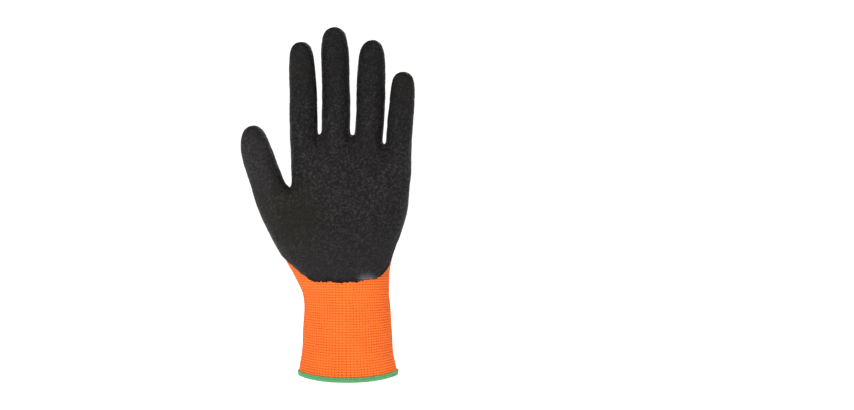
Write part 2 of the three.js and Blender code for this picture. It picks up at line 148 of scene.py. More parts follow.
# Soft pushes at the thumb's crotch and the three webs: axis, amount, x and its reach, z and its reach
PUSHES = (
    (0, 1.4, -41.6, 2.4, 140.8, 4.5),
    (2, -0.8, -43.0, 4.0, 139.5, 5.0),
    (2, 2.3, -19.9, 5.0, 172.0, 8.0),
    (2, 2.1, 3.0, 5.0, 172.0, 8.0),
    (2, 1.8, 25.7, 5.0, 166.0, 8.0),
)

# Places in the finishes, in metres as Object coordinates are: heights and sides from where one tone fades
# to where the other is full, the painted olive shade at the thumb, the glossy run and its painted highlight
# at the palm's edge, and the floor's glow
CLOSER_KNIT = (0.078, 0.112)
HEEL_HEIGHTS = (0.086, 0.118)
DARKER_FINGERS = (0.165, 0.210)
PALE_HEIGHTS = (0.165, 0.200)
THUMB_SIDES = (-0.047, -0.057)
WEB_PLACE = (-0.040, -0.014, 0.116)
WEB_REACH = (0.034, 0.006)
RUN_SQUEEZE = (0.6, 0.2, 1.0)
RUN_PLACE = (0.0084, -0.0042, 0.0732)
RUN_REACH = (0.0048, 0.0015)
GLOW_REACH = (0.15, 0.7)

# Stage in metres: what the lights aim at, and the floor's radius, with its bend and the steps of that
GLOVE_MIDDLE = (-0.015, 0.0, 0.13)
SWEEP_RADIUS = 2.2
SWEEP_BEND = 1.2
SWEEP_STEPS = 10

# Crinkles to a metre, width of the latex's lip in millimetres, and two colours that no setting holds:
# the paler latex of thumb and heel, and the painted highlight of the run at the palm's edge
CRINKLE_SCALE = 590.0
LIP_WIDTH = (0.3, 4.0)
PALE_LATEX = (0.040, 0.037, 0.0385, 1.0)
# Painted highlight of the glossy run at the palm's edge
RUN_HIGHLIGHT_COLOUR = (0.075, 0.080, 0.103, 1.0)


def opaque(colour):
    """A colour given as red, green and blue shares, with its alpha."""
    return (*colour, 1.0)


def ramp(value, start, reach):
    """Rises from 0 at the start to 1 where the value is past it by the reach."""
    return np.clip((value - start) / reach, 0, 1)


# Reading the frame

def select_only(obj):
    """Makes one object the active and only selected one."""
    bpy.ops.object.select_all(action="DESELECT")
    obj.select_set(True)
    bpy.context.view_layer.objects.active = obj


def add_object(name, mesh):
    """Links a new object that holds the mesh."""
    obj = bpy.data.objects.new(name, mesh)
    bpy.context.scene.collection.objects.link(obj)
    return obj


def outer_wall(bm):
    """The faces of the outer wall: the largest region inside the sharp convex edges."""
    limit = math.radians(62)
    left = set(bm.faces)
    best, best_area = [], 0.0
    while left:
        region = [left.pop()]
        for face in region:
            for edge in face.edges:
                if len(edge.link_faces) != 2 or edge.calc_face_angle_signed() > limit:
                    continue
                for other in edge.link_faces:
                    if other in left:
                        left.remove(other)
                        region.append(other)
        area = sum(face.calc_area() for face in region)
        if area > best_area:
            best, best_area = region, area
    return set(best)


def hand_cage():
    """The outer wall of the liner and its stalls as one mesh of quads, in millimetres."""
    joined = bmesh.new()
    for name in ("liner", *STALLS):
        part = bmesh.new()
        part.from_mesh(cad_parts[name].data)
        bmesh.ops.scale(part, vec=(1 / MM,) * 3, verts=part.verts)
        bmesh.ops.remove_doubles(part, verts=part.verts, dist=0.002)
        keep = outer_wall(part)
        bmesh.ops.delete(part, geom=[f for f in part.faces if f not in keep], context="FACES")
        for face in part.faces:
            face.material_index = int(name == "thumb_stall")
        mesh = bpy.data.meshes.new("wall")
        part.to_mesh(mesh)
        joined.from_mesh(mesh)
        bpy.data.meshes.remove(mesh)
    bmesh.ops.remove_doubles(joined, verts=joined.verts, dist=0.6)
    many = {vert for vert in joined.verts if len(vert.link_edges) > 4}
    diagonals = [
        edge for edge in joined.edges
        if len(edge.link_faces) == 2 and edge.verts[0] in many and edge.verts[1] in many
    ]
    bmesh.ops.dissolve_edges(joined, edges=diagonals, use_verts=False)
    bmesh.ops.recalc_face_normals(joined, faces=joined.faces)
    mesh = bpy.data.meshes.new("hand_cage")
    joined.to_mesh(mesh)
    joined.free()
    return mesh


def settle(points):
    """Moves points to the worn glove's outline at its wrist, fingers, tips, thumb and webs."""
    moved = points.copy()
    x, z = points[..., 0], points[..., 2]
    bend = np.clip(1 - np.abs(z - WRIST_Z) / BEND_REACH, 0, 1) ** 2
    moved[..., 0] -= BEND_ROUNDING * bend * ramp(-x, *BEND_SIDE)
    moved[..., 0] += WAIST_FILL * bend * ramp(x, *BEND_SIDE)
    moved[..., 0] += ramp(z, *DRIFT_START) * np.interp(x, *FINGER_DRIFT)
    for low_x, middle, high_x, start, left, right in TIP_SWELLS:
        side = np.where((x > low_x) & (x < high_x), np.clip((x - middle) / 6, -1, 1), 0)
        moved[..., 0] += ramp(z, start, 20) * side * np.where(side < 0, left, right)
    line_x, line_z, lean, width = THUMB_LINE
    inner = np.clip((x - line_x - lean * (line_z - z)) / width, 0, 1)
    fill = inner * np.interp(z, *THUMB_FILL) + (1 - inner) * np.interp(z, *THUMB_OUTER_FILL)
    moved[..., 0] += fill * (x < THUMB_LIMIT)
    for axis, amount, push_x, wide, push_z, high in PUSHES:
        moved[..., axis] += amount * np.exp(-(((x - push_x) / wide) ** 2) - ((z - push_z) / high) ** 2)
    return moved


def unwrap_cage(obj):
    """Unwraps back, palm and thumb apart, turned so that u runs across and v up, in millimetres."""
    mesh = obj.data
    side = {}
    for face in mesh.polygons:
        side[face.index] = 2 * face.material_index + int(face.normal.y > 0)
    edges = {}
    for face in mesh.polygons:
        for key in face.edge_keys:
            edges.setdefault(key, set()).add(side[face.index])
    for edge in mesh.edges:
        edge.use_seam = len(edges[edge.key]) > 1
    select_only(obj)
    bpy.ops.object.mode_set(mode="EDIT")
    bpy.ops.mesh.select_all(action="SELECT")
    bpy.ops.uv.unwrap(method="ANGLE_BASED", margin=0.001)
    bpy.ops.object.mode_set(mode="OBJECT")
    layer = mesh.uv_layers.active.data
    for island in range(4):
        loops = [i for face in mesh.polygons if side[face.index] == island for i in face.loop_indices]
        if not loops:
            continue
        flat = np.array([complex(*layer[i].uv) for i in loops])
        points = np.array([mesh.vertices[mesh.loops[i].vertex_index].co[:] for i in loops])
        mirror = -1.0 if island % 2 else 1.0
        turn = np.exp(-1j * THUMB_LEAN * mirror) if island > 1 else 1.0
        target = (mirror * points[:, 0] + 1j * points[:, 2]) * turn
        fit = np.stack([flat, np.ones(len(flat))], axis=1)
        (scale, move), *_ = np.linalg.lstsq(fit, target, rcond=None)
        for i, value in zip(loops, flat * scale + move):
            layer[i].uv = (value.real, value.imag)


class Surface:
    """A mesh of quads as arrays: points in millimetres, faces, corner coordinates and normals."""

    def __init__(self, source, levels, settled=True):
        select_only(source)
        modifier = source.modifiers.new("Subdivision", "SUBSURF")
        modifier.levels = modifier.render_levels = levels
        modifier.boundary_smooth = "PRESERVE_CORNERS"
        graph = bpy.context.evaluated_depsgraph_get()
        mesh = bpy.data.meshes.new_from_object(source.evaluated_get(graph))
        source.modifiers.remove(modifier)
        count = len(mesh.vertices)
        self.points = np.empty(count * 3)
        mesh.vertices.foreach_get("co", self.points)
        self.points = self.points.reshape(-1, 3)
        if settled:
            self.points = settle(self.points)
        faces = np.empty(len(mesh.loops), dtype=np.int64)
        mesh.loops.foreach_get("vertex_index", faces)
        self.faces = faces.reshape(-1, 4)
        corners = np.empty(len(mesh.loops) * 2)
        mesh.uv_layers.active.data.foreach_get("uv", corners)
        self.corners = corners.reshape(-1, 4, 2)
        bpy.data.meshes.remove(mesh)
        self.normals = point_normals(self.points, self.faces)


def point_normals(points, faces):
    """Smooth normals at the points, from the diagonals of the quads."""
    normals = np.zeros_like(points)
    across = np.cross(
        points[faces[:, 2]] - points[faces[:, 0]], points[faces[:, 3]] - points[faces[:, 1]]
    )
    for i in range(4):
        np.add.at(normals, faces[:, i], across)
    return normals / np.maximum(np.linalg.norm(normals, axis=1, keepdims=True), 1e-9)


def rim_of(faces):
    """Directed edges that only one face has, in the direction of that face."""
    edges = {}
    for face in faces:
        face = [int(i) for i in face]
        for a, b in zip(face, face[1:] + face[:1]):
            if (b, a) in edges:
                del edges[(b, a)]
            else:
                edges[(a, b)] = True
    return list(edges)


# Fields over the hand, in millimetres

def noise_field(points, size, seed):
    """Smooth noise from about -1 to 1 whose features are about the given size."""
    scaled = points / size + np.array([seed * 7.3, seed * 3.1, seed * 5.7])
    return np.array([noise.noise(Vector(p)) for p in scaled])


def smooth_least(a, b, width):
    """The lesser of two fields, rounded where they meet."""
    blend = np.clip(0.5 + 0.5 * (b - a) / width, 0, 1)
    return b + (a - b) * blend - width * blend * (1 - blend)


def polygon_distance(x, z, polygon):
    """Distance to a closed outline, negative inside."""
    count = len(polygon)
    nearest = np.full(len(x), 1e9)
    inside = np.zeros(len(x), dtype=bool)
    for i in range(count):
        (ax, az), (bx, bz) = polygon[i], polygon[(i + 1) % count]
        along = np.clip(
            ((x - ax) * (bx - ax) + (z - az) * (bz - az)) / ((bx - ax) ** 2 + (bz - az) ** 2), 0, 1
        )
        gap = np.hypot(x - ax - along * (bx - ax), z - az - along * (bz - az))
        nearest = np.minimum(nearest, gap)
        crosses = (az > z) != (bz > z)
        if az != bz:
            inside ^= crosses & (x < ax + (z - az) * (bx - ax) / (bz - az))
    return np.where(inside, -nearest, nearest)


def lobe_distance(x, z, lobe):
    """Distance to a half ellipse that stands on its centre, negative inside."""
    centre_x, centre_z, half, reach, lean = lobe
    angle = math.radians(lean)
    across = (x - centre_x) * math.cos(angle) + (z - centre_z) * math.sin(angle)
    up = -(x - centre_x) * math.sin(angle) + (z - centre_z) * math.cos(angle)
    long = np.where(up > 0, reach, 9.0)
    near = np.hypot(across / half, up / long)
    slope = np.hypot(across / half**2, up / long**2)
    return near * (near - 1) / np.maximum(slope, 1e-6)


def covered_field(points, ragged):
    """How far a point lies inside the coating's edge: positive where the latex covers the knit."""
    x, y, z = points.T
    wave = ragged * (0.5 * noise_field(points, 3.2, 1) + 0.6 * noise_field(points, 1.2, 2))
    wave = wave * np.interp(y, *EDGE_CALM)
    back_x = x + 0.35 * noise_field(points, 9.0, 3)
    field = np.full(len(x), 1e9)
    openings = [polygon_distance(back_x, z, BARE_BACK)]
    openings += [lobe_distance(back_x, z, lobe) for lobe in BARE_LOBES]
    for distance in openings:
        field = smooth_least(field, distance, LOBE_ROUNDING)
    start = np.interp(x, *np.array(BACK_START).T)
    field = -smooth_least(-field, y - start, BACK_ROUNDING)
    palm = (z - np.interp(x, *np.array(PALM_EDGE).T) + PALM_WAVE * wave) * 0.9
    return smooth_least(field + BACK_WAVE * wave, palm, PALM_ROUNDING)


def soft_wrinkles(points):
    """Gentle folds of the worn fabric, the same for knit and latex."""
    low = noise_field(points, 17.0, 5)
    middle = noise_field(points * np.array([0.6, 1.0, 1.6]), 9.0, 6)
    return ramp(points[:, 2], WRIST_Z, 12) * (0.28 * low + 0.16 * middle)


def crinkle(points):
    """Height of the latex's fine crinkles, from 0 in their valleys to 1."""
    stretched = points * np.array([0.85, 0.95, 1.2])
    shift = np.stack([noise_field(stretched, 2.6, 11 + i) for i in range(3)], axis=1)
    bent = stretched + 1.1 * shift
    ridges = 1 - np.abs(noise_field(bent, 1.6, 21)) * 2.2
    lumps = noise_field(bent, 3.4, 22)
    return np.clip(0.62 * ridges + 0.38 * lumps, -0.3, 1)


# Building the meshes

def make_piece(name, points, faces, corners, material, attributes=None):
    """A smooth mesh object from blocks of points in millimetres, with its UV map and point attributes."""
    mesh = bpy.data.meshes.new(name)
    mesh.from_pydata([tuple(p) for p in np.concatenate(points) * MM], [], [list(f) for f in faces])
    mesh.polygons.foreach_set("use_smooth", [True] * len(mesh.polygons))
    layer = mesh.uv_layers.new(name="knit")
    layer.data.foreach_set("uv", np.concatenate(corners).astype(np.float32).ravel())
    for key, values in (attributes or {}).items():
        layer = mesh.attributes.new(key, "FLOAT", "POINT")
        layer.data.foreach_set("value", values.astype(np.float32))
    mesh.update()
    mesh.validate()
    mesh.materials.append(material)
    return add_object(name, mesh)


def place(obj, slot, *nodes):
    """Lets a finished piece ride on the glove and stand for its CAD nodes. The slot is not used."""
    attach(obj, "root")
    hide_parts(*nodes)


def cut_at_edge(surface, field):
    """The part of the surface where the field is positive, cut cleanly at zero."""
    field = np.where(np.abs(field) < 0.12, 0.0, field)
    keep = field >= 0
    points = [tuple(p) for p in surface.points]
    blends = []
    cut = {}

    def crossing(a, b):
        key = (a, b) if a < b else (b, a)
        if key not in cut:
            share = field[key[0]] / (field[key[0]] - field[key[1]])
            cut[key] = len(points) + len(blends)
            blends.append((key[0], key[1], share))
        return cut[key]

    faces, corners = [], []
    count = keep[surface.faces].sum(axis=1)
    for face, uv, inside in zip(surface.faces.tolist(), surface.corners, count):
        if inside == 4:
            faces.append(face)
            corners.append(uv)
            continue
        if inside == 0:
            continue
        new_face, new_uv = [], []
        for i in range(4):
            a, b = face[i], face[(i + 1) % 4]
            if keep[a]:
                new_face.append(a)
                new_uv.append(uv[i])
            if keep[a] != keep[b] and field[a] != 0 and field[b] != 0:
                new_face.append(crossing(a, b))
                share = abs(field[a]) / (abs(field[a]) + abs(field[b]))
                new_uv.append(uv[i] * (1 - share) + uv[(i + 1) % 4] * share)
        if len(new_face) > 2:
            faces.append(new_face)
            corners.append(np.array(new_uv))
    first, second, share = (np.array(v) for v in zip(*blends))
    first, second = first.astype(int), second.astype(int)

    def extend(values):
        weight = share.reshape(-1, *([1] * (values.ndim - 1)))
        return np.concatenate([values, values[first] * (1 - weight) + values[second] * weight])

    places = extend(surface.points)
    normals = extend(surface.normals)
    normals /= np.linalg.norm(normals, axis=1, keepdims=True)
    depth = extend(field)
    used = sorted({i for face in faces for i in face})
    order = {old: new for new, old in enumerate(used)}
    faces = [[order[i] for i in face] for face in faces]
    return places[used], normals[used], np.maximum(depth[used], 0), faces, corners


# Materials

class Graph:
    """Adds nodes to a tree and joins them in one call."""

    def __init__(self, tree):
        self.tree = tree
        self.count = 0

    def node(self, kind, inputs=None, **settings):
        made = self.tree.nodes.new(kind)
        made.location = (200 * (self.count % 12), -180 * (self.count // 12))
        self.count += 1
        for key, value in settings.items():
            setattr(made, key, value)
        for key, value in (inputs or {}).items():
            if isinstance(value, bpy.types.NodeSocket):
                self.link(value, made, key)
            else:
                made.inputs[key].default_value = value
        return made

    def link(self, output, node, socket):
        self.tree.links.new(output, node.inputs[socket])

    def place(self):
        return self.node("ShaderNodeTexCoord").outputs["Object"]

    def stitches(self):
        return self.node("ShaderNodeUVMap", uv_map="knit").outputs[0]

    def math(self, operation, *values):
        return self.node("ShaderNodeMath", dict(enumerate(values)), operation=operation).outputs[0]

    def plus(self, first, second):
        return self.math("ADD", first, second)

    def minus(self, first, second):
        return self.math("SUBTRACT", first, second)

    def times(self, first, second):
        return self.math("MULTIPLY", first, second)

    def vector(self, operation, first, second, output="Vector"):
        inputs = {0: first, 1: second}
        return self.node("ShaderNodeVectorMath", inputs, operation=operation).outputs[output]

    def distance(self, vector, place):
        return self.vector("DISTANCE", vector, place, "Value")

    def noise(self, vector, scale, detail, **more):
        return self.node("ShaderNodeTexNoise", {"Vector": vector, "Scale": scale, "Detail": detail, **more})

    def warped(self, vector, scale, amount):
        """The vector, moved about by soft noise of the given scale."""
        offset = self.vector("SUBTRACT", self.noise(vector, scale, 2.0).outputs["Color"], (0.5, 0.5, 0.5))
        small = self.node("ShaderNodeVectorMath", {0: offset, "Scale": amount}, operation="SCALE")
        return self.vector("ADD", vector, small.outputs[0])

    def remap(self, value, low, high, to_low=0.0, to_high=1.0):
        inputs = {"Value": value, "From Min": low, "From Max": high, "To Min": to_low, "To Max": to_high}
        return self.node("ShaderNodeMapRange", inputs).outputs["Result"]

    def blend(self, share, first, second, data_type="RGBA"):
        inputs = {"Factor": share, "A": first, "B": second}
        return self.node("ShaderNodeMix", inputs, data_type=data_type).outputs["Result"]

    def group(self, name, inputs):
        return self.node("ShaderNodeGroup", inputs, node_tree=shared_group(name)).outputs

    def bump(self, distance, height, shader):
        made = self.node("ShaderNodeBump", {"Strength": 1.0, "Distance": distance, "Height": height})
        self.link(made.outputs[0], shader, "Normal")


def new_group(name, numbers, outputs):
    """A node group that takes a vector and named numbers; returns it, its graph and its two end nodes."""
    group = bpy.data.node_groups.new(name, "ShaderNodeTree")
    group.interface.new_socket("Vector", in_out="INPUT", socket_type="NodeSocketVector")
    for label, value in numbers.items():
        socket = group.interface.new_socket(label, in_out="INPUT", socket_type="NodeSocketFloat")
        socket.default_value = value
    for label in outputs:
        group.interface.new_socket(label, in_out="OUTPUT", socket_type="NodeSocketFloat")
    graph = Graph(group)
    return group, graph, graph.node("NodeGroupInput"), graph.node("NodeGroupOutput")


def knit_group():
    """Plain knit in stitches of one UV unit: height of the yarn, and a mask of the gaps."""
    numbers = {"Slant": 0.5, "Course Share": 0.6}
    group, graph, start, end = new_group("Knit stitches", numbers, ("Height", "Gap"))
    moved = graph.warped(start.outputs["Vector"], 0.35, 0.35)
    split = graph.node("ShaderNodeSeparateXYZ", {0: moved})
    wale = graph.math("FRACT", split.outputs["X"])
    leg = graph.times(graph.math("ABSOLUTE", graph.minus(wale, 0.5)), 2.0)
    course = graph.math("FRACT", graph.minus(split.outputs["Y"], graph.times(leg, start.outputs["Slant"])))

    def arch(place, power):
        high = graph.math("SINE", graph.times(place, math.pi))
        return graph.math("POWER", graph.math("MAXIMUM", high, 0.0), power)

    across, along = arch(leg, 0.6), arch(course, 0.7)
    weighted = graph.blend(start.outputs["Course Share"], across, along, "FLOAT")
    both = graph.times(across, along)
    height = graph.plus(graph.times(weighted, 0.6), graph.times(both, 0.4))
    # Holes lie between the legs of neighbouring stitches, lines between the courses
    side = graph.times(graph.minus(1.0, leg), 0.5)
    rise = graph.minus(0.5, graph.math("ABSOLUTE", graph.minus(course, 0.5)))
    away = graph.math("SQRT", graph.plus(graph.times(side, side), graph.times(rise, rise)))
    hole = graph.remap(away, 0.34, 0.12)
    line = graph.times(graph.remap(height, 0.7, 0.25), 0.5)
    graph.link(graph.minus(height, graph.times(hole, 0.5)), end, "Height")
    graph.link(graph.math("MAXIMUM", hole, line), end, "Gap")
    return group


def fibre_group():
    """Fine fibres of a spun yarn: a height and a fleck mask, from Object coordinates."""
    group, graph, start, end = new_group("Yarn fibres", {}, ("Height", "Fleck"))
    vector = start.outputs["Vector"]
    graph.link(graph.noise(vector, 4200.0, 3.0, Distortion=0.6).outputs[0], end, "Height")
    graph.link(graph.noise(vector, 55.0, 3.0).outputs[0], end, "Fleck")
    return group


def crinkle_group():
    """Crinkled latex skin: height of its small folds and a mask of their crests."""
    group, graph, start, end = new_group("Crinkled skin", {}, ("Height", "Crest"))
    bent = graph.warped(start.outputs["Vector"], 260.0, 0.0022)
    inputs = {"Vector": bent, "Scale": CRINKLE_SCALE, "Randomness": 1.0}
    cells = graph.node("ShaderNodeTexVoronoi", inputs, feature="SMOOTH_F1")
    folds = graph.noise(bent, CRINKLE_SCALE, 3.5, Roughness=0.55)
    ridge = graph.math("ABSOLUTE", graph.minus(folds.outputs[0], 0.5))
    ridge = graph.remap(ridge, 0.0, 0.16, 1.0, 0.0)
    lump = graph.remap(cells.outputs["Distance"], 0.0, 0.75, 1.0, 0.0)
    height = graph.plus(graph.times(ridge, 0.55), graph.times(lump, 0.45))
    graph.link(height, end, "Height")
    graph.link(graph.remap(height, 0.5, 0.85), end, "Crest")
    return group


GROUPS = {}


def shared_group(name):
    """The named node group, built on its first use."""
    makers = {"knit": knit_group, "fibre": fibre_group, "crinkle": crinkle_group}
    if name not in GROUPS:
        GROUPS[name] = makers[name]()
    return GROUPS[name]


def new_material(name):
    """A material with its graph and its Principled shader."""
    material = bpy.data.materials.new(name)
    material.use_nodes = True
    return material, Graph(material.node_tree), material.node_tree.nodes["Principled BSDF"]


def set_sockets(shader, values):
    """Sets the shader's own sockets to what is the same all over."""
    for name, value in values.items():
        shader.inputs[name].default_value = value


def yarn_material(name, settings):
    """Knitted yarn that reads the map named knit, one unit to a stitch."""
    material, graph, shader = new_material(name)
    place = graph.place()
    knit = graph.group("knit", {"Vector": graph.stitches(), "Slant": 0.26, "Course Share": 0.7})
    fibre = graph.group("fibre", {"Vector": place})
    level = graph.node("ShaderNodeSeparateXYZ", {0: place}).outputs["Z"]
    # The hand is knitted closer than the cuff
    open_knit = graph.remap(level, *CLOSER_KNIT, 1.0, 0.42)
    # Painted shade: the holes and lines between the stitches take the darker gap colour
    gap = graph.times(knit["Gap"], open_knit)
    base = graph.blend(gap, opaque(settings.yarn_colour), opaque(settings.gap_shade_colour))
    fleck = graph.remap(fibre["Fleck"], 0.35, 0.7, 0.0, 0.22)
    graph.link(graph.blend(fleck, base, opaque(settings.worn_colour)), shader, "Base Color")
    set_sockets(shader, {
        "Roughness": 0.85, "Specular IOR Level": 0.1, "Sheen Weight": 0.03, "Sheen Roughness": 0.5,
        "Sheen Tint": (1.0, 0.4, 0.12, 1.0),
    })
    stitch = graph.times(knit["Height"], open_knit)
    graph.bump(settings.relief, graph.plus(stitch, graph.times(fibre["Height"], 0.15)), shader)
    return material


def latex_material(settings):
    """Charcoal latex: crinkled over the grip, dark in its smooth lip, with the knit faint at its heel."""
    material, graph, shader = new_material("latex")
    place = graph.place()
    edge = graph.node("ShaderNodeAttribute", attribute_name="inside_edge").outputs["Fac"]
    lip = graph.remap(edge, *LIP_WIDTH, 1.0, 0.0)
    split = graph.node("ShaderNodeSeparateXYZ", {0: place}).outputs
    heel = graph.remap(split["Z"], *HEEL_HEIGHTS, 1.0, 0.0)
    skin = graph.group("crinkle", {"Vector": place})
    knit = graph.group("knit", {"Vector": graph.stitches(), "Slant": 0.25, "Course Share": 0.8})
    # Painted highlight: crests of the crinkles are paler, in blotches, and less so in the lip and on the
    # fingers
    blotch = graph.noise(place, 42.0, 4.0).outputs[0]
    calm = graph.minus(1.0, graph.math("MAXIMUM", lip, graph.times(heel, 0.22)))
    crest_highlight = graph.times(skin["Crest"], graph.remap(blotch, 0.3, 0.7, 0.45, 1.0))
    crest_highlight = graph.times(crest_highlight, calm)
    crest_highlight = graph.times(crest_highlight, graph.remap(split["Z"], *DARKER_FINGERS, 1.0, 0.58))
    base = graph.blend(crest_highlight, opaque(settings.latex_colour), opaque(settings.crest_highlight_colour))
    # Thumb and heel are a little paler all over
    thumb = graph.remap(split["X"], *THUMB_SIDES, 0.05, 0.24)
    pale = graph.math("MAXIMUM", graph.times(heel, 0.2), thumb)
    pale = graph.times(pale, graph.remap(split["Z"], *PALE_HEIGHTS, 1.0, 0.0))
    pale = graph.times(pale, graph.minus(1.0, lip))
    base = graph.blend(pale, base, PALE_LATEX)
    # Painted shade in olive lies in the hollow between thumb and palm, and faint random clouds of the same
    # tint lie elsewhere
    web = graph.remap(graph.distance(place, WEB_PLACE), *WEB_REACH, 0.0, 0.5)
    cloud = graph.remap(graph.noise(place, 27.0, 2.0).outputs[0], 0.52, 0.7, 0.0, 0.22)
    base = graph.blend(graph.math("MAXIMUM", web, cloud), base, opaque(settings.olive_shade_and_tint))
    # A glossy run at the palm's edge carries a painted bluish highlight, broken up by the knit's pattern
    squeezed = graph.vector("MULTIPLY", place, RUN_SQUEEZE)
    run = graph.remap(graph.distance(squeezed, RUN_PLACE), *RUN_REACH)
    run_highlight = graph.times(run, graph.remap(knit["Height"], 0.2, 0.9, 0.1, 0.85))
    graph.link(graph.blend(run_highlight, base, RUN_HIGHLIGHT_COLOUR), shader, "Base Color")
    rough = graph.plus(0.6, graph.times(skin["Height"], -0.12))
    graph.link(graph.blend(lip, rough, 0.75, "FLOAT"), shader, "Roughness")
    coat = graph.math("MAXIMUM", graph.remap(blotch, 0.58, 0.7, 0.0, 0.6), run)
    graph.link(graph.times(lip, coat), shader, "Coat Weight")
    set_sockets(shader, {"Specular IOR Level": 0.09, "Coat Roughness": 0.16})
    folds = graph.times(skin["Height"], graph.remap(calm, 0.0, 1.0, 0.25, 1.0))
    under = graph.times(graph.times(knit["Height"], heel), 0.6)
    graph.bump(settings.crinkle_bump, graph.plus(folds, under), shader)
    return material


def thread_material(settings):
    """Twisted overlock thread: fine slanted strands along the thread's own map."""
    material, graph, shader = new_material("hem_thread")
    split = graph.node("ShaderNodeSeparateXYZ", {0: graph.stitches()}).outputs
    turn = graph.plus(graph.times(split["X"], 3.0), split["Y"])
    strand = graph.math("ABSOLUTE", graph.math("SINE", graph.times(turn, math.pi)))
    fibre = graph.group("fibre", {"Vector": graph.place()})
    # Painted shade: the grooves between the strands take the darker groove colour
    shade = graph.remap(strand, 0.0, 0.7, 0.75, 0.0)
    base = graph.blend(shade, opaque(settings.thread_colour), opaque(settings.thread_groove_shade))
    graph.link(base, shader, "Base Color")
    set_sockets(shader, {"Roughness": 0.7, "Specular IOR Level": 0.3, "Sheen Weight": 0.3})
    graph.bump(0.12 * MM, graph.plus(strand, graph.times(fibre["Height"], 0.4)), shader)
    return material


def floor_material():
    """White paper that glows, most of all round the glove."""
    material, graph, shader = new_material("pale floor")
    away = graph.node("ShaderNodeVectorMath", {0: graph.place()}, operation="LENGTH").outputs["Value"]
    graph.link(graph.remap(away, *GLOW_REACH, 1.05, 0.74), shader, "Emission Strength")
    set_sockets(shader, {
        "Base Color": (0.62, 0.62, 0.62, 1.0), "Roughness": 0.9, "Specular IOR Level": 0.1,
        "Emission Color": (1.0, 1.0, 1.0, 1.0),
    })
    return material


# Settings that a user would change

class KnitSettings(bpy.types.PropertyGroup):
    """Gauge and colours of the knitted yarn."""

    wale_width: bpy.props.FloatProperty(
        name="Wale Width", description="Width of one column of stitches",
        default=1.9 * MM, min=0.5 * MM, unit="LENGTH",
    )
    course_height: bpy.props.FloatProperty(
        name="Course Height", description="Height of one row of stitches",
        default=1.84 * MM, min=0.5 * MM, unit="LENGTH",
    )
    relief: bpy.props.FloatProperty(
        name="Relief", description="Depth of the shaded stitches", default=0.55 * MM, unit="LENGTH",
    )
    cuff_relief: bpy.props.FloatProperty(
        name="Cuff Relief", description="Real depth of the cuff's courses", default=0.24 * MM, unit="LENGTH",
    )
    yarn_colour: bpy.props.FloatVectorProperty(
        name="Yarn Colour", description="Colour of the yarn in the light", subtype="COLOR",
        size=3, default=(0.90, 0.176, 0.027),
    )
    # Painted shade: the darker orange laid between the stitches
    gap_shade_colour: bpy.props.FloatVectorProperty(
        name="Gap Colour", description="Colour between the stitches", subtype="COLOR",
        size=3, default=(0.60, 0.029, 0.001),
    )
    worn_colour: bpy.props.FloatVectorProperty(
        name="Worn Colour", description="Colour of the lighter flecks", subtype="COLOR",
        size=3, default=(1.0, 0.21, 0.04),
    )


class LatexSettings(bpy.types.PropertyGroup):
    """Thickness, crinkles and colours of the coating."""

    rise: bpy.props.FloatProperty(
        name="Rise", description="How far the latex stands above the knit",
        default=COATING_RISE * MM, unit="LENGTH",
    )
    crinkle_depth: bpy.props.FloatProperty(
        name="Crinkle Depth", description="Real depth of the crinkles", default=0.34 * MM, unit="LENGTH",
    )
    crinkle_bump: bpy.props.FloatProperty(
        name="Crinkle Bump", description="Depth of the shaded crinkles", default=0.45 * MM, unit="LENGTH",
    )
    raggedness: bpy.props.FloatProperty(
        name="Raggedness", description="How uneven the dipped edge is", default=1.0, min=0.0,
    )
    latex_colour: bpy.props.FloatVectorProperty(
        name="Latex Colour", description="Colour of the coating", subtype="COLOR",
        size=3, default=(0.0048, 0.0042, 0.0046),
    )
    # Painted highlight laid on the crests of the crinkles
    crest_highlight_colour: bpy.props.FloatVectorProperty(
        name="Crest Colour", description="Colour on the crests of the crinkles", subtype="COLOR",
        size=3, default=(0.0385, 0.0355, 0.037),
    )
    # The olive is painted shade in the hollow between thumb and palm, and a faint random tint elsewhere
    olive_shade_and_tint: bpy.props.FloatVectorProperty(
        name="Olive Colour", description="Tint where the coating is stretched at the thumb", subtype="COLOR",
        size=3, default=(0.014, 0.012, 0.006),
    )


class HemSettings(bpy.types.PropertyGroup):
    """Threads of the overlocked hem."""

    wraps: bpy.props.IntProperty(
        name="Wraps", description="How many times the thread goes round the edge", default=128, min=12,
    )
    thread_radius: bpy.props.FloatProperty(
        name="Thread Radius", description="Half the thread's thickness", default=0.42 * MM, unit="LENGTH",
    )
    thread_colour: bpy.props.FloatVectorProperty(
        name="Thread Colour", description="Colour of the hem thread", subtype="COLOR",
        size=3, default=(0.080, 0.38, 0.145),
    )
    # Painted shade laid in the grooves between the strands
    thread_groove_shade: bpy.props.FloatVectorProperty(
        name="Thread Shade", description="Colour between the strands", subtype="COLOR",
        size=3, default=(0.033, 0.245, 0.080),
    )


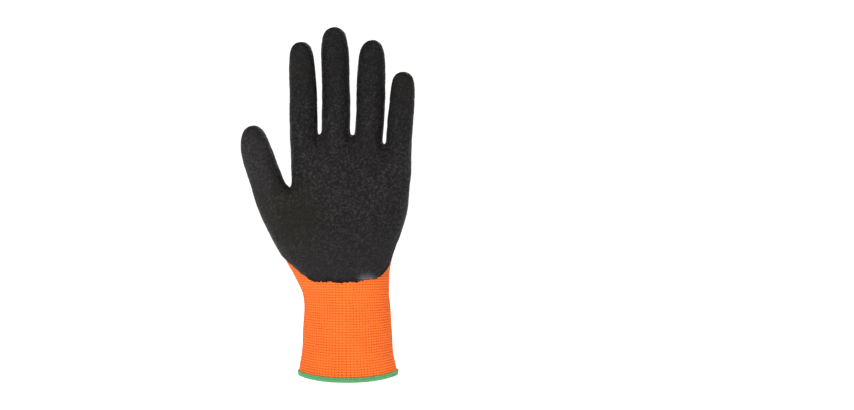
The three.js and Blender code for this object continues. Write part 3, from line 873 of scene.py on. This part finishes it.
class StageSettings(bpy.types.PropertyGroup):
    """Floor, lights and camera."""

    floor_height: bpy.props.FloatProperty(
        name="Floor Height", description="Level of the floor under the hem", default=-0.5 * MM, unit="LENGTH",
    )
    camera_distance: bpy.props.FloatProperty(
        name="Camera Distance", description="Distance in front of the palm", default=1.2, unit="LENGTH",
    )
    camera_height: bpy.props.FloatProperty(
        name="Camera Height", description="Height of the lens", default=0.124, unit="LENGTH",
    )
    camera_side: bpy.props.FloatProperty(
        name="Camera Side", description="Sideways place of the lens", default=0.0559, unit="LENGTH",
    )
    lens: bpy.props.FloatProperty(
        name="Lens", description="Focal length in millimetres", default=71.2, min=10.0,
    )
    key_power: bpy.props.FloatProperty(
        name="Key Power", description="Power of the main light in watts", default=11.0, min=0.0,
    )
    fill_power: bpy.props.FloatProperty(
        name="Fill Power", description="Power of the fill light in watts", default=5.0, min=0.0,
    )
    surround: bpy.props.FloatProperty(
        name="Surround", description="Strength of the white surroundings", default=0.24, min=0.0,
    )


# The cage is built once and shared by the knitted hand and its coating

SHARED = {}


def shared_cage():
    """The hand's cage with its UV map, built on its first use."""
    if "cage" not in SHARED:
        obj = add_object("hand_cage", hand_cage())
        unwrap_cage(obj)
        obj.hide_render = True
        SHARED["cage"] = obj
    return SHARED["cage"]


def stitch_corners(corners, knit):
    """Corner coordinates in millimetres turned into stitches."""
    return corners / np.array([knit.wale_width / MM, knit.course_height / MM])


def joined_stitches(surface, knit):
    """The surface's stitches, led over into the cuff's wales and courses near the wrist."""
    flat = stitch_corners(surface.corners, knit)
    back = surface.points[surface.faces, 1].mean(axis=1) > 0
    centre = np.where(back, 0.25, 0.75)[:, None] * WALES
    points = surface.points[surface.faces]
    x = (points[..., 0] - CUFF_ROWS[-1][3]) / CUFF_ROWS[-1][1]
    y = points[..., 1] / CUFF_ROWS[-1][2]
    power = ROUNDNESS / 2
    angle = np.arctan2(np.sign(y) * np.abs(y) ** power, np.sign(x) * np.abs(x) ** power)
    wale = angle / (2 * math.pi) * WALES
    wale += WALES * np.round((centre - wale) / WALES)
    cuffward = np.stack([wale, points[..., 2] / (knit.course_height / MM)], axis=-1)
    flat[..., 0] += centre
    share = ramp(points[..., 2], *JOINED_KNIT)[..., None]
    share = share * share * (3 - 2 * share)
    return cuffward * (1 - share) + flat * share


def add_caps(points, faces, corners, quads):
    """Closes an open edge with quads on points of their own, so that the edge stays sharp."""
    places = np.concatenate(points)
    count = len(places)
    for quad in quads:
        faces.append([count, count + 1, count + 2, count + 3])
        corners.append(np.zeros((4, 2)))
        count += 4
    points.append(places[np.array(quads).ravel()])


class GLOVE_OT_knit_hand(bpy.types.Operator):
    """Build the knitted hand with its five fingers, open at the wrist"""

    bl_idname = "glove.knit_hand"
    bl_label = "Knitted Hand"

    def execute(self, context):
        knit = context.scene.glove_knit
        surface = Surface(shared_cage(), 2)
        outer = surface.points + surface.normals * soft_wrinkles(surface.points)[:, None]
        inner = outer - surface.normals * LINER_WALL
        shift = len(outer)
        faces = surface.faces.tolist() + (surface.faces[:, ::-1] + shift).tolist()
        stitches = joined_stitches(surface, knit)
        corners = list(stitches) + list(stitches[:, ::-1])
        points = [outer, inner]
        rim = rim_of(surface.faces)
        add_caps(points, faces, corners, [(b, a, a + shift, b + shift) for a, b in rim])
        obj = make_piece("knit_hand", points, faces, corners, yarn_material("yarn", knit))
        place(obj, "yarn", "liner", *STALLS)
        return {"FINISHED"}


class GLOVE_OT_latex_coating(bpy.types.Operator):
    """Build the latex over palm, fingers and fingertips with its rounded ragged lip"""

    bl_idname = "glove.latex_coating"
    bl_label = "Latex Coating"

    def execute(self, context):
        knit = context.scene.glove_knit
        latex = context.scene.glove_latex
        surface = Surface(shared_cage(), 3)
        surface.corners = joined_stitches(surface, knit)
        field = covered_field(surface.points, latex.raggedness)
        points, normals, depth, faces, corners = cut_at_edge(surface, field)
        rounded = 1 - (1 - ramp(depth, 0, LIP_REACH)) ** 2
        rise = LIP_RISE + (latex.rise / MM - LIP_RISE) * np.sqrt(rounded)
        swell = 0.16 * np.exp(-((depth - LIP_REACH) / 0.9) ** 2)
        folds = (crinkle(points) - 0.4) * (latex.crinkle_depth / MM) * ramp(depth, 1.0, 4.0)
        height = soft_wrinkles(points) + rise + swell + folds
        outer = points + normals * height[:, None]
        rim = rim_of(faces)
        rim_points = sorted({a for a, _ in rim})
        skirt = {a: len(points) + i for i, a in enumerate(rim_points)}
        low = soft_wrinkles(points[rim_points]) + 0.02
        foot = points[rim_points] + normals[rim_points] * low[:, None]
        for a, b in rim:
            faces.append([b, a, skirt[a], skirt[b]])
            corners.append(np.zeros((4, 2)))
        inside = np.concatenate([depth, np.zeros(len(rim_points))])
        material = latex_material(latex)
        obj = make_piece("latex_coating", [outer, foot], faces, corners, material, {"inside_edge": inside})
        place(obj, "latex", "coating")
        return {"FINISHED"}


def hem_rise(angle):
    """Height of the hem's lower edge: it dips towards the palm."""
    palmward = np.maximum(0, -np.sin(angle))
    return HEM_DIP * (1 - palmward**2)


def cuff_section(angle, half, depth, shift, inset=0.0):
    """Points of one rounded section of the cuff."""
    power = 2 / ROUNDNESS
    x = np.sign(np.cos(angle)) * np.abs(np.cos(angle)) ** power * (half - inset) + shift
    y = np.sign(np.sin(angle)) * np.abs(np.sin(angle)) ** power * (depth - inset)
    return np.stack([x, y], axis=-1)


def wrist_line(angle):
    """The knitted hand's lower rim as points at the given section angles."""
    surface = Surface(shared_cage(), 2, settled=False)
    rim = sorted({a for a, _ in rim_of(surface.faces)})
    points = surface.points[rim]
    centre = (points[:, :2].max(axis=0) + points[:, :2].min(axis=0)) / 2
    around = np.arctan2(points[:, 1] - centre[1], points[:, 0] - centre[0])
    reach = np.hypot(points[:, 0] - centre[0], points[:, 1] - centre[1])
    order = np.argsort(around)
    around, reach = around[order], reach[order]
    around = np.concatenate([around - 2 * math.pi, around, around + 2 * math.pi])
    reach = np.tile(reach, 3)
    half = np.ptp(points[:, 0]) / 2
    depth = np.ptp(points[:, 1]) / 2
    flat = cuff_section(angle, half, depth, 0.0)
    direction = np.arctan2(flat[..., 1], flat[..., 0])
    distance = np.interp(direction, around, reach)
    x = centre[0] + distance * np.cos(direction)
    y = centre[1] + distance * np.sin(direction)
    return np.stack([x, y], axis=-1), points[:, 2].mean()


class GLOVE_OT_knit_cuff(bpy.types.Operator):
    """Build the ribbed cuff, stitch row by stitch row, up to the knitted hand"""

    bl_idname = "glove.knit_cuff"
    bl_label = "Rib Knit Cuff"

    def execute(self, context):
        knit = context.scene.glove_knit
        course_height = knit.course_height / MM
        columns = WALES * STITCH_POINTS
        angle = np.arange(columns) / columns * 2 * math.pi
        top_line, top_z = wrist_line(angle)
        courses = int(round((top_z - 2.2) / course_height))
        rows = courses * STITCH_POINTS
        share = np.linspace(0, 1, rows + 1)
        stops = np.array([row[0] for row in CUFF_ROWS] + [1.0])
        sections = [cuff_section(angle, *row[1:]) for row in CUFF_ROWS] + [top_line]
        outline = smooth_rows(stops, np.stack(sections), share)
        seat = CUFF_SEAT + hem_rise(angle)
        z = seat[None, :] * (1 - share[:, None]) + top_z * share[:, None]
        points = settle(np.concatenate([outline, z[..., None]], axis=-1))
        normals = grid_normals(points)
        u = np.arange(columns + 1) / STITCH_POINTS
        # Courses are counted down from the hand's rows, so that both knits meet
        v = np.linspace(top_z / course_height - courses, top_z / course_height, rows + 1)
        stitch = np.abs(np.sin(math.pi * v))[:, None] ** 0.7
        column = 0.5 + 0.5 * np.abs(np.sin(math.pi * u[:-1]))[None, :]
        fade = np.minimum(1, (1 - share) * 8)[:, None]
        relief = (stitch * column - 0.55) * (knit.cuff_relief / MM) * fade
        sag = 0.22 * noise_field(points.reshape(-1, 3), 14.0, 31).reshape(relief.shape) * fade
        sag *= np.minimum(1, share * 10)[:, None]
        outer = points + normals * (relief + sag)[..., None]
        inner = (points + normals * (sag - LINER_WALL)[..., None])[::STITCH_POINTS]
        faces, corners = [], []
        add_grid(faces, corners, rows, columns, 0, u, v, False)
        base = outer.shape[0] * columns
        add_grid(faces, corners, courses, columns, base, u, v[::STITCH_POINTS], True)
        joined = [outer.reshape(-1, 3), inner.reshape(-1, 3)]
        high, low = rows * columns, base + courses * columns
        caps = []
        for j in range(columns):
            k = (j + 1) % columns
            caps.append((k, j, base + j, base + k))
            caps.append((high + j, high + k, low + k, low + j))
        add_caps(joined, faces, corners, caps)
        obj = make_piece("knit_cuff", joined, faces, corners, yarn_material("rib_knit", knit))
        place(obj, "rib_knit", "cuff")
        return {"FINISHED"}


def smooth_rows(stops, stack, share):
    """Sections between the given ones, on a smooth curve through them."""
    gaps = np.diff(stops)
    slopes = np.diff(stack, axis=0) / gaps[:, None, None]
    tangents = np.empty_like(stack)
    tangents[0], tangents[-1] = slopes[0], slopes[-1]
    tangents[1:-1] = (slopes[:-1] * gaps[1:, None, None] + slopes[1:] * gaps[:-1, None, None]) / (
        gaps[:-1] + gaps[1:]
    )[:, None, None]
    index = np.clip(np.searchsorted(stops, share, side="right") - 1, 0, len(gaps) - 1)
    t = ((share - stops[index]) / gaps[index])[:, None, None]
    width = gaps[index][:, None, None]
    return (
        (2 * t**3 - 3 * t**2 + 1) * stack[index] + (t**3 - 2 * t**2 + t) * width * tangents[index]
        + (3 * t**2 - 2 * t**3) * stack[index + 1] + (t**3 - t**2) * width * tangents[index + 1]
    )


def grid_normals(points):
    """Outward normals of a closed round grid of rows and columns."""
    around = np.roll(points, -1, axis=1) - np.roll(points, 1, axis=1)
    up = np.gradient(points, axis=0)
    normals = np.cross(around, up)
    return normals / np.linalg.norm(normals, axis=-1, keepdims=True)


def add_grid(faces, corners, rows, columns, start, u, v, inward):
    """Quads of a closed round grid, with their corner coordinates."""
    for i in range(rows):
        for j in range(columns):
            k = (j + 1) % columns
            low, high = start + i * columns, start + (i + 1) * columns
            face = [low + j, low + k, high + k, high + j]
            flat = [(u[j], v[i]), (u[j + 1], v[i]), (u[j + 1], v[i + 1]), (u[j], v[i + 1])]
            if inward:
                face, flat = face[::-1], flat[::-1]
            faces.append(face)
            corners.append(np.array(flat))


def hem_point(angle, out, up):
    """Points of the hem: out is the distance from the middle of the cuff's wall, up the height."""
    lowest = CUFF_ROWS[0][1:]
    section = cuff_section(angle, *lowest, inset=LINER_WALL / 2)
    along = cuff_section(angle + 0.01, *lowest, inset=LINER_WALL / 2) - section
    side = np.stack([along[..., 1], -along[..., 0]], axis=-1)
    side /= np.linalg.norm(side, axis=-1, keepdims=True)
    flat = section + side * out[..., None]
    return np.concatenate([flat, (hem_rise(angle) + up)[..., None]], axis=-1)


def even_angles(count):
    """Angles round the cuff's edge that lie an even distance apart."""
    fine = np.linspace(0, 2 * math.pi, 1441)
    flat = cuff_section(fine, CUFF_ROWS[0][1], CUFF_ROWS[0][2], 0.0)
    run = np.concatenate([[0], np.cumsum(np.hypot(*np.diff(flat, axis=0).T))])
    return np.interp(np.arange(count) / count * run[-1], run, fine)


def closed_tube(path, radius, sides, start):
    """Points, faces and corner coordinates of a round thread along a closed path."""
    count = len(path)
    tangent = np.roll(path, -1, axis=0) - np.roll(path, 1, axis=0)
    tangent /= np.linalg.norm(tangent, axis=1, keepdims=True)
    outward = path - path.mean(axis=0)
    outward[:, 2] = 0
    outward /= np.linalg.norm(outward, axis=1, keepdims=True)
    along_edge = np.cross(outward, (0.0, 0.0, 1.0))
    first = along_edge - tangent * np.sum(along_edge * tangent, axis=1, keepdims=True)
    first /= np.linalg.norm(first, axis=1, keepdims=True)
    second = np.cross(tangent, first)
    turn = (np.arange(sides) / sides * 2 * math.pi)[None, :, None]
    ring = path[:, None] + radius * (np.cos(turn) * first[:, None] + np.sin(turn) * second[:, None])
    run = np.arange(count + 1) * STRAND_PITCH
    round_it = np.arange(sides + 1) / sides
    faces, corners = [], []
    for i in range(count):
        low, high = start + i * sides, start + (i + 1) % count * sides
        for j in range(sides):
            k = (j + 1) % sides
            faces.append([low + j, high + j, high + k, low + k])
            corners.append(np.array([
                (round_it[j], run[i]), (round_it[j], run[i + 1]), (round_it[j + 1], run[i + 1]),
                (round_it[j + 1], run[i]),
            ]))
    return ring.reshape(-1, 3), faces, corners


class GLOVE_OT_hem(bpy.types.Operator):
    """Build the overlocked hem: a band of fabric with thread wound round it and chained along it"""

    bl_idname = "glove.hem"
    bl_label = "Overlocked Hem"

    def execute(self, context):
        hem = context.scene.glove_hem
        radius = hem.thread_radius / MM
        half = HEM_HALF
        steps = hem.wraps * WRAP_POINTS
        phase = np.arange(steps) / WRAP_POINTS * 2 * math.pi
        points, faces, corners = [], [], []
        # The wound thread: a slanted loop round the folded edge, flatter on its faces
        out = np.sign(np.cos(phase)) * np.abs(np.cos(phase)) ** 0.6 * (half - 0.05)
        up = np.sign(np.sin(phase)) * np.abs(np.sin(phase)) ** 0.8 * (HEM_HEIGHT / 2 - radius)
        up += HEM_HEIGHT / 2
        path = hem_point(even_angles(steps), out, up)
        # Looper threads: small waves along the top and the bottom of the band's outer face
        small = hem.wraps * CHAIN_POINTS
        along = even_angles(small)
        wave = np.arange(small) / CHAIN_POINTS * 2 * math.pi
        chains = [
            hem_point(along, half + 0.12 + 0.1 * np.cos(wave), HEM_HEIGHT - 0.55 + 0.3 * np.sin(wave)),
            hem_point(along, half * 0.55 + 0.1 * np.cos(wave), 0.42 + 0.1 * np.sin(wave)),
        ]
        count = 0
        for line, thick in ((path, radius), (chains[0], radius * 0.8), (chains[1], radius * 0.9)):
            ring, more, flat = closed_tube(line, thick, 6, count)
            points.append(ring)
            faces += more
            corners += flat
            count += len(ring)
        # The folded band under the threads
        profile = [(half - 0.25, HEM_HEIGHT - 0.4), (-half + 0.25, HEM_HEIGHT - 0.4), (-half + 0.1, 0.7),
                   (-half * 0.4, 0.35), (half * 0.4, 0.35), (half - 0.1, 0.7)]
        around = even_angles(BAND_POINTS)
        for out, up in profile:
            points.append(hem_point(around, np.full(BAND_POINTS, out), np.full(BAND_POINTS, up)))
        for i in range(len(profile)):
            low, high = count + i * BAND_POINTS, count + (i + 1) % len(profile) * BAND_POINTS
            for j in range(BAND_POINTS):
                k = (j + 1) % BAND_POINTS
                faces.append([low + j, high + j, high + k, low + k])
                corners.append(np.zeros((4, 2)))
        obj = make_piece("hem_threads", points, faces, corners, thread_material(hem))
        place(obj, "hem_thread", "hem")
        return {"FINISHED"}


def area_light(name, place_at, size, power):
    """A soft square light aimed at the middle of the glove."""
    bpy.ops.object.light_add(type="AREA", location=place_at)
    light = bpy.context.object
    light.name = name
    light.data.shape = "RECTANGLE"
    light.data.size = light.data.size_y = size
    light.data.energy = power
    light.rotation_euler = (Vector(GLOVE_MIDDLE) - Vector(place_at)).to_track_quat("-Z", "Y").to_euler()


def add_sweep(floor_height):
    """A round pale floor that curves up into a wall on every side."""
    bpy.ops.object.select_all(action="DESELECT")
    place_at = (0, 0, floor_height)
    bpy.ops.mesh.primitive_circle_add(vertices=96, radius=SWEEP_RADIUS, fill_type="NGON", location=place_at)
    floor = bpy.context.object
    floor.name = "floor"
    bpy.ops.object.mode_set(mode="EDIT")
    bpy.ops.mesh.select_mode(type="EDGE")
    bpy.ops.mesh.select_all(action="SELECT")
    for step in range(SWEEP_STEPS):
        low, high = (math.pi / 2 * (step + i) / SWEEP_STEPS for i in range(2))
        out = SWEEP_BEND * (math.sin(high) - math.sin(low))
        up = SWEEP_BEND * (math.cos(low) - math.cos(high))
        reach = SWEEP_RADIUS + SWEEP_BEND * math.sin(low)
        wider = (reach + out) / reach
        bpy.ops.mesh.extrude_edges_move(TRANSFORM_OT_translate={"value": (0, 0, up)})
        bpy.ops.transform.resize(value=(wider, wider, 1), center_override=(0, 0, 0))
    bpy.ops.object.mode_set(mode="OBJECT")
    bpy.ops.object.shade_smooth()
    floor.data.materials.append(floor_material())


class GLOVE_OT_stage(bpy.types.Operator):
    """Add the pale floor, the soft lights and the camera"""

    bl_idname = "glove.stage"
    bl_label = "Stage"

    def execute(self, context):
        stage = context.scene.glove_stage
        add_sweep(stage.floor_height)
        for side, turn in (("", 1), ("back ", -1)):
            area_light(side + "key light", (-0.5 * turn, -0.95 * turn, 0.95), 0.45, stage.key_power)
            area_light(side + "fill light", (0.4 * turn, -1.2 * turn, 0.3), 1.0, stage.fill_power)
        world = bpy.data.worlds.new("studio")
        world.use_nodes = True
        background = world.node_tree.nodes["Background"]
        background.inputs["Color"].default_value = (1, 1, 1, 1)
        background.inputs["Strength"].default_value = stage.surround
        context.scene.world = world
        context.scene.view_settings.view_transform = "Standard"
        bpy.ops.object.camera_add(
            location=(stage.camera_side, -stage.camera_distance, stage.camera_height),
            rotation=(math.pi / 2, 0, 0),
        )
        camera = context.object
        camera.data.lens = stage.lens
        camera.data.sensor_width = 36.0
        context.scene.camera = camera
        return {"FINISHED"}


class GLOVE_PT_panel(bpy.types.Panel):
    """Settings and steps of the glove"""

    bl_idname = "GLOVE_PT_panel"
    bl_label = "Grip Glove"
    bl_space_type = "VIEW_3D"
    bl_region_type = "UI"
    bl_category = "Glove"

    def draw(self, context):
        layout = self.layout
        for key in ("glove_knit", "glove_latex", "glove_hem", "glove_stage"):
            group = getattr(context.scene, key)
            column = layout.column(align=True)
            for name in group.bl_rna.properties.keys():
                if name not in ("rna_type", "name"):
                    column.prop(group, name)
        for operator in OPERATORS:
            layout.operator(operator.bl_idname)


GROUP_NAMES = {
    "glove_knit": KnitSettings,
    "glove_latex": LatexSettings,
    "glove_hem": HemSettings,
    "glove_stage": StageSettings,
}
OPERATORS = (
    GLOVE_OT_knit_hand, GLOVE_OT_latex_coating, GLOVE_OT_knit_cuff, GLOVE_OT_hem, GLOVE_OT_stage,
)
CLASSES = (*GROUP_NAMES.values(), *OPERATORS, GLOVE_PT_panel)


def register():
    """Registers the classes and hangs the settings on the scene."""
    for made in CLASSES:
        bpy.utils.register_class(made)
    for key, kind in GROUP_NAMES.items():
        setattr(bpy.types.Scene, key, bpy.props.PointerProperty(type=kind))


def unregister():
    """Takes the settings and classes away again."""
    for key in GROUP_NAMES:
        delattr(bpy.types.Scene, key)
    for made in reversed(CLASSES):
        bpy.utils.unregister_class(made)


def main():
    """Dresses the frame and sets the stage."""
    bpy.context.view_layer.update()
    register()
    bpy.ops.glove.knit_hand()
    bpy.ops.glove.latex_coating()
    bpy.ops.glove.knit_cuff()
    bpy.ops.glove.hem()
    bpy.data.objects.remove(SHARED.pop("cage"))
    bpy.ops.glove.stage()


if __name__ == "__main__":
    main()
